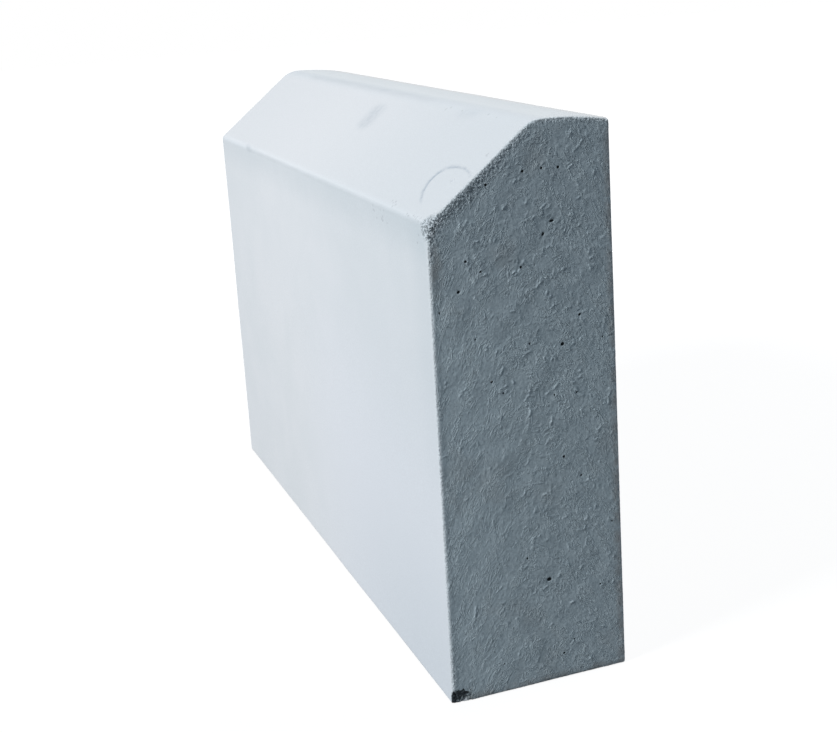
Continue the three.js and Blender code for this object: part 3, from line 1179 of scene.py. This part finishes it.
    def wrinkle_lines(self, flow, wavelength, stretch, width):
        """Thin broken ridges where a noise that is drawn out along the flow passes its middle."""
        drawn_out = self.vector("MULTIPLY", flow, (1, 1 / stretch, 1))
        off = self.math("ABSOLUTE", self.noise(wavelength, 1, 0.5, 1.6, drawn_out) - 0.5)
        kept = self.noise(2.2 * wavelength, 1, where=flow).fit(0.46, 0.6)
        return off.fit(0.0, width, 1.0, 0.0) * kept

    def height(self):
        """The relief too fine for the mesh, in millimetres: sand, thin wrinkles and broken grains."""
        risen = self.y * self.y * WRINKLE_LEAN + self.z
        flow = self.add("ShaderNodeCombineXYZ", (*turned(risen, self.y, WRINKLE_HEADING), self.x))
        on_end = self.wrinkle_lines(flow, 4.6, 1.4, 0.08) * 0.165
        on_end += self.wrinkle_lines(flow, 2.8, 1.1, 0.11) * 0.14
        on_end += (self.noise(1.3, 2, 0.6) - 0.5) * 0.175
        rough = (self.crumble * self.end_face.fit(0, 1, 0.3, 1)).larger(self.broken)
        return on_end * self.end_face + self.sand * 0.05 + rough * (self.noise(1.0, 2, 0.6) - 0.5)


def concrete_material():
    material = bpy.data.materials.new("concrete")
    material.use_nodes = True
    nodes = Concrete(material.node_tree)
    bump = nodes.add("ShaderNodeBump", {"Strength": 1.0, "Distance": MM, "Height": nodes.height()})
    shader = nodes.add("ShaderNodeBsdfPrincipled", {
        "Base Color": nodes.colour(),
        "Roughness": nodes.noise(9, 4, 0.6).fit(0.3, 0.7, 0.82, 0.94),
        "Specular IOR Level": 0.25,
        "Normal": bump,
    })
    nodes.node("ShaderNodeOutputMaterial", {"Surface": shader})
    return material


FLOOR_BOUNCE = 0.12
FLOOR_GLOW = 0.89
FLOOR_SHADE = 0.14
SHADOW_REACH = (0.45, 1.1)


def floor_material():
    """White to look at, with the stone's shadow kept, and a modest grey to the light."""
    material = bpy.data.materials.new("studio_floor")
    material.use_nodes = True
    nodes = Nodes(material.node_tree)
    from_middle = nodes.length(nodes.add("ShaderNodeTexCoord", output="Object"))
    glow = nodes.add("ShaderNodeEmission", {"Strength": from_middle.fit(*SHADOW_REACH, FLOOR_GLOW, 1.0)})
    shade = nodes.add("ShaderNodeBsdfDiffuse", {"Color": grey(FLOOR_SHADE)})
    bounce = nodes.add("ShaderNodeBsdfDiffuse", {"Color": grey(FLOOR_BOUNCE)})
    shown = nodes.add("ShaderNodeAddShader", (glow, shade))
    mix = nodes.add("ShaderNodeMixShader", (nodes.seen_directly(), bounce, shown))
    nodes.node("ShaderNodeOutputMaterial", {"Surface": mix})
    return material


# ---- The studio

FLOOR_SIZE = 12.0
SKY_COLOUR = (0.66, 0.82, 1.0, 1.0)
SKY_STRENGTH = 0.22
LAMP_COLOUR = (0.97, 0.99, 1.0)
LAMP_TARGET = Vector((0.0, 0.0, 0.15))


def make_floor():
    bpy.ops.mesh.primitive_plane_add(size=FLOOR_SIZE, location=(0, 0, 0))
    floor = bpy.context.object
    floor.name = "studio_floor"
    floor.data.materials.append(floor_material())


def make_sky():
    world = bpy.data.worlds.new("studio_sky")
    bpy.context.scene.world = world
    world.use_nodes = True
    nodes = Nodes(world.node_tree)
    light = nodes.add("ShaderNodeBackground", {"Color": SKY_COLOUR, "Strength": SKY_STRENGTH})
    white = nodes.add("ShaderNodeBackground", {"Color": grey(1.0)})
    mix = nodes.add("ShaderNodeMixShader", (nodes.seen_directly(), light, white))
    nodes.node("ShaderNodeOutputWorld", {"Surface": mix})


def soft_lamp(name, place, size, power):
    lamp = bpy.data.lights.new(name, "AREA")
    lamp.shape = "SQUARE"
    lamp.size = size
    lamp.energy = power
    lamp.color = LAMP_COLOUR
    holder = add_object(name, lamp)
    holder.location = place
    holder.rotation_euler = (LAMP_TARGET - Vector(place)).to_track_quat("-Z", "Y").to_euler()


def make_lamps():
    soft_lamp("key_lamp", place=(0.77, -3.62, 2.24), size=1.3, power=192.0)
    soft_lamp("back_lamp", place=(-0.2, 1.3, 1.8), size=1.2, power=25.0)


def make_camera():
    data = bpy.data.cameras.new("camera")
    data.sensor_width = SENSOR_WIDTH
    data.lens = FOCAL_PIXELS / FRAME_WIDTH * SENSOR_WIDTH
    data.shift_x = (FRAME_WIDTH / 2 - PRINCIPAL_POINT[0]) / FRAME_WIDTH
    data.shift_y = (PRINCIPAL_POINT[1] - FRAME_HEIGHT / 2) / FRAME_WIDTH
    data.clip_start = 0.01
    camera = add_object("camera", data)
    camera.matrix_world = (
        Matrix.Translation(CAMERA_PLACE)
        @ Matrix.Rotation(CAMERA_AZIMUTH, 4, "Z")
        @ Matrix.Rotation(math.pi / 2 - CAMERA_ELEVATION, 4, "X")
        @ Matrix.Rotation(-CAMERA_ROLL, 4, "Z")
    )
    bpy.context.scene.camera = camera


make_camera()
make_floor()
make_sky()
make_lamps()

stone = make_stone()
stone.data.materials.append(concrete_material())
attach(stone, "root")
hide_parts("kerb_stone")

bpy.context.scene.view_settings.view_transform = "Standard"
